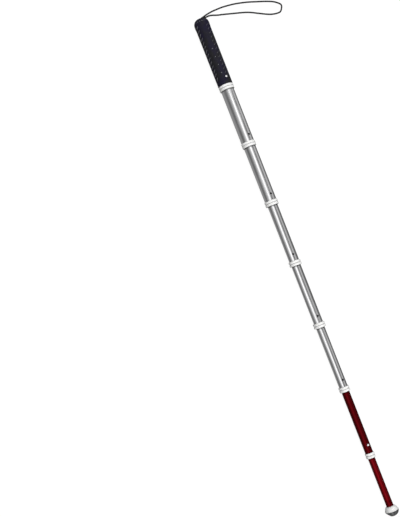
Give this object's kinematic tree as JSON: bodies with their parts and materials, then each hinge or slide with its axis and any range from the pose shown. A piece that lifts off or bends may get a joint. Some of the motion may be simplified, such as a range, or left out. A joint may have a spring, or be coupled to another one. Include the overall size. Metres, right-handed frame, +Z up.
{
  "type": "telescopic walking stick",
  "caption": "Long telescopic white cane in nested sections with locking buttons, white collars, a rubber grip, a wrist cord and a flared tip with a domed pad.",
  "frame": {"origin": "on the surface that the cane lies on, under the middle of its length", "axes": "+X along the cane from the handle to the tip, +Z up, the wrist cord lies on the +Y side"},
  "size_m": [1.225, 0.2116, 0.0365],
  "materials": {
    "grip_rubber": "matt moulded rubber with a fine pattern",
    "silver_tube": "bright polished aluminium",
    "red_tube": "dark red gloss coat on aluminium",
    "white_plastic": "smooth white nylon",
    "dark_plastic": "plain moulded",
    "button_steel": "polished steel",
    "button_dark": "darkened steel",
    "spring_steel": "drawn wire",
    "cord": "black braided cord",
    "tip_glide": "glossy dark hard plastic"
  },
  "bodies": {
    "handle": {"grip_sleeve": "grip_rubber", "handle_tube": "silver_tube", "handle_end_plug": "dark_plastic", "collar_1": "white_plastic", "wrist_cord": "cord", "cord_knot": "cord"},
    "section_1": {"tube_1": "silver_tube", "guide_plug_1": "dark_plastic", "button_spring_1": "spring_steel", "collar_2": "white_plastic"},
    "button_1": {"lock_button_1": "button_steel"},
    "section_2": {"tube_2": "silver_tube", "guide_plug_2": "dark_plastic", "button_spring_2": "spring_steel", "collar_3": "white_plastic"},
    "button_2": {"lock_button_2": "button_dark"},
    "section_3": {"tube_3": "silver_tube", "guide_plug_3": "dark_plastic", "button_spring_3": "spring_steel", "collar_4": "white_plastic"},
    "button_3": {"lock_button_3": "button_dark"},
    "section_4": {"tube_4": "silver_tube", "guide_plug_4": "dark_plastic", "button_spring_4": "spring_steel", "collar_5": "white_plastic"},
    "button_4": {"lock_button_4": "button_dark"},
    "section_5": {"tube_5": "silver_tube", "guide_plug_5": "dark_plastic", "button_spring_5": "spring_steel", "collar_6": "white_plastic"},
    "button_5": {"lock_button_5": "button_dark"},
    "section_6": {"tube_6": "red_tube", "guide_plug_6": "dark_plastic", "button_spring_6": "spring_steel", "collar_7": "white_plastic"},
    "button_6": {"lock_button_6": "button_dark"},
    "section_7": {"tube_7": "red_tube", "guide_plug_7": "dark_plastic", "button_spring_7": "spring_steel", "tip_body": "white_plastic", "tip_pad": "tip_glide"},
    "button_7": {"lock_button_7": "button_steel"}
  },
  "joints": [
    {"name": "section_1_slide", "type": "slide", "parent": "handle", "child": "section_1", "axis": [-1, 0, 0], "range_m": [0, 0.1304], "deforming": ["lock_button_1"]},
    {"name": "button_1_press", "type": "slide", "parent": "section_1", "child": "button_1", "axis": [0, -0.4848, -0.8746], "range_m": [0, 0.0025], "stiffness_N_per_m": 400, "deforming": ["button_spring_1"]},
    {"name": "section_2_slide", "type": "slide", "parent": "section_1", "child": "section_2", "axis": [-1, 0, 0], "range_m": [0, 0.133], "deforming": ["lock_button_2"]},
    {"name": "button_2_press", "type": "slide", "parent": "section_2", "child": "button_2", "axis": [0, -0.5446, -0.8387], "range_m": [0, 0.0019], "stiffness_N_per_m": 400, "deforming": ["button_spring_2"]},
    {"name": "section_3_slide", "type": "slide", "parent": "section_2", "child": "section_3", "axis": [-1, 0, 0], "range_m": [0, 0.1352], "deforming": ["lock_button_3"]},
    {"name": "button_3_press", "type": "slide", "parent": "section_3", "child": "button_3", "axis": [0, -0.3907, -0.9205], "range_m": [0, 0.0019], "stiffness_N_per_m": 400, "deforming": ["button_spring_3"]},
    {"name": "section_4_slide", "type": "slide", "parent": "section_3", "child": "section_4", "axis": [-1, 0, 0], "range_m": [0, 0.1381], "deforming": ["lock_button_4"]},
    {"name": "button_4_press", "type": "slide", "parent": "section_4", "child": "button_4", "axis": [0, -0.2079, -0.9781], "range_m": [0, 0.0019], "stiffness_N_per_m": 400, "deforming": ["button_spring_4"]},
    {"name": "section_5_slide", "type": "slide", "parent": "section_4", "child": "section_5", "axis": [-1, 0, 0], "range_m": [0, 0.1411], "deforming": ["lock_button_5"]},
    {"name": "button_5_press", "type": "slide", "parent": "section_5", "child": "button_5", "axis": [0, -0.2924, -0.9563], "range_m": [0, 0.0019], "stiffness_N_per_m": 400, "deforming": ["button_spring_5"]},
    {"name": "section_6_slide", "type": "slide", "parent": "section_5", "child": "section_6", "axis": [-1, 0, 0], "range_m": [0, 0.1442], "deforming": ["lock_button_6"]},
    {"name": "button_6_press", "type": "slide", "parent": "section_6", "child": "button_6", "axis": [0, -0.342, -0.9397], "range_m": [0, 0.0019], "stiffness_N_per_m": 400, "deforming": ["button_spring_6"]},
    {"name": "section_7_slide", "type": "slide", "parent": "section_6", "child": "section_7", "axis": [-1, 0, 0], "range_m": [0, 0.1129], "deforming": ["lock_button_7"]},
    {"name": "button_7_press", "type": "slide", "parent": "section_7", "child": "button_7", "axis": [0, -0.3584, -0.9336], "range_m": [0, 0.0019], "stiffness_N_per_m": 400, "deforming": ["button_spring_7"]}
  ]
}
